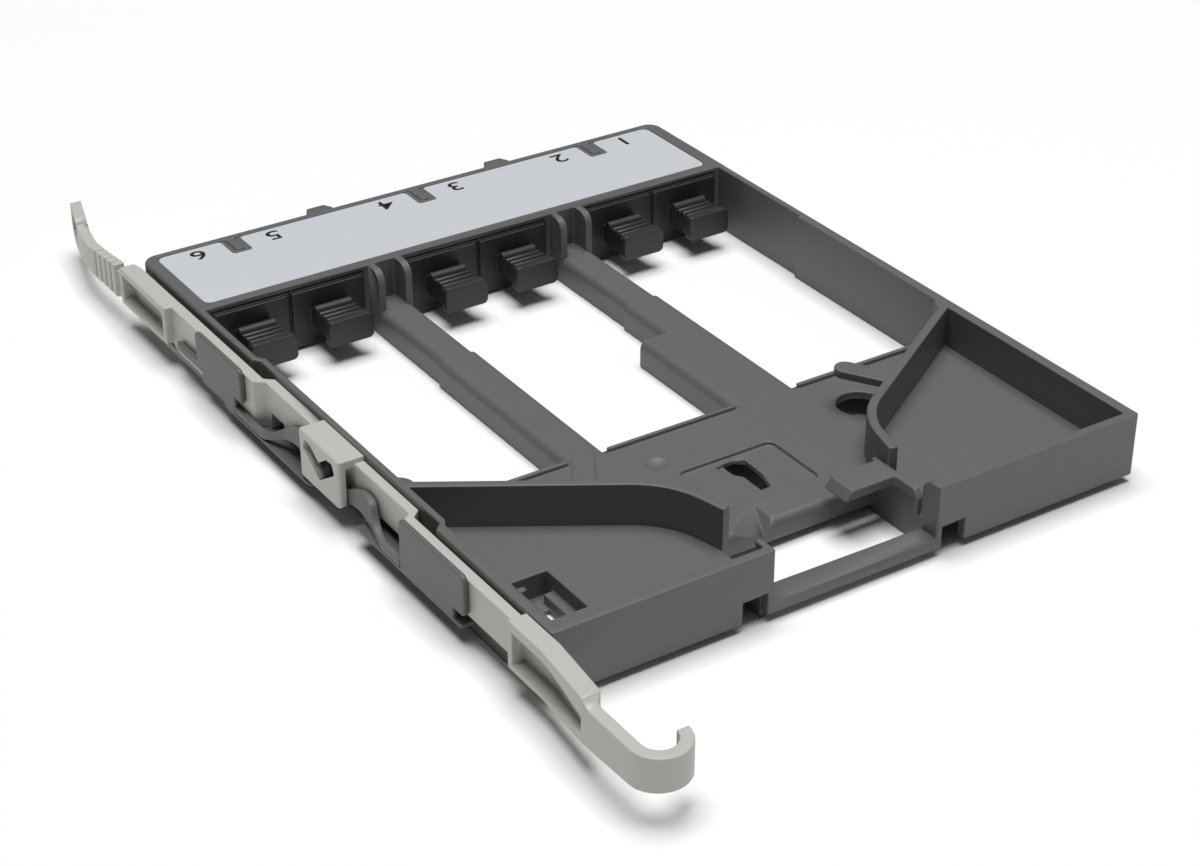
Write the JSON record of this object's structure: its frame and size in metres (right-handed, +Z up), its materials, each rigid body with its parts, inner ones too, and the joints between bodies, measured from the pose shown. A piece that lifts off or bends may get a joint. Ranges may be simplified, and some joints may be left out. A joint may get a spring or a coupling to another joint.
{
  "type": "mpo adapter pack",
  "caption": "Flat moulded tray with paired fibre adapters behind a front label field, dust plugs, open cable bays, two corner bins, a rear handle and a sliding release bar along one side.",
  "frame": {"origin": "on the underside plane, midway between the side walls and between the front and rear edges of the tray", "axes": "+Z up, +Y from the ports towards the handle, +X towards the release bar"},
  "size_m": [0.1012, 0.1758, 0.011],
  "materials": {
    "tray_plastic": "fine spark-eroded texture",
    "bar_plastic": "satin",
    "label_stock": "coated film",
    "adapter_plastic": "satin",
    "hook_plastic": "satin",
    "plug_plastic": "satin"
  },
  "bodies": {
    "tray": {"frame": "tray_plastic", "latch_spring": "tray_plastic", "label": "label_stock", "adapter_1": "adapter_plastic", "adapter_2": "adapter_plastic", "adapter_3": "adapter_plastic", "adapter_4": "adapter_plastic", "adapter_5": "adapter_plastic", "adapter_6": "adapter_plastic", "adapter_hooks_1": "hook_plastic", "adapter_hooks_2": "hook_plastic", "adapter_hooks_3": "hook_plastic", "adapter_hooks_4": "hook_plastic", "adapter_hooks_5": "hook_plastic", "adapter_hooks_6": "hook_plastic"},
    "bar": {"latch_bar": "bar_plastic"},
    "plug_1": {"rear_plug_1": "plug_plastic"},
    "plug_2": {"rear_plug_2": "plug_plastic"},
    "plug_3": {"rear_plug_3": "plug_plastic"},
    "plug_4": {"rear_plug_4": "plug_plastic"},
    "plug_5": {"rear_plug_5": "plug_plastic"},
    "plug_6": {"rear_plug_6": "plug_plastic"}
  },
  "joints": [
    {"name": "latch_bar_slide", "type": "slide", "parent": "tray", "child": "bar", "axis": [0, 1, 0], "range_m": [-0.003, 0.003], "stiffness_N_per_m": 400, "deforming": ["latch_spring"]},
    {"name": "rear_plug_1_pull", "type": "slide", "parent": "tray", "child": "plug_1", "axis": [0, 1, 0], "range_m": [0, 0.012]},
    {"name": "rear_plug_2_pull", "type": "slide", "parent": "tray", "child": "plug_2", "axis": [0, 1, 0], "range_m": [0, 0.012]},
    {"name": "rear_plug_3_pull", "type": "slide", "parent": "tray", "child": "plug_3", "axis": [0, 1, 0], "range_m": [0, 0.012]},
    {"name": "rear_plug_4_pull", "type": "slide", "parent": "tray", "child": "plug_4", "axis": [0, 1, 0], "range_m": [0, 0.012]},
    {"name": "rear_plug_5_pull", "type": "slide", "parent": "tray", "child": "plug_5", "axis": [0, 1, 0], "range_m": [0, 0.012]},
    {"name": "rear_plug_6_pull", "type": "slide", "parent": "tray", "child": "plug_6", "axis": [0, 1, 0], "range_m": [0, 0.012]}
  ]
}
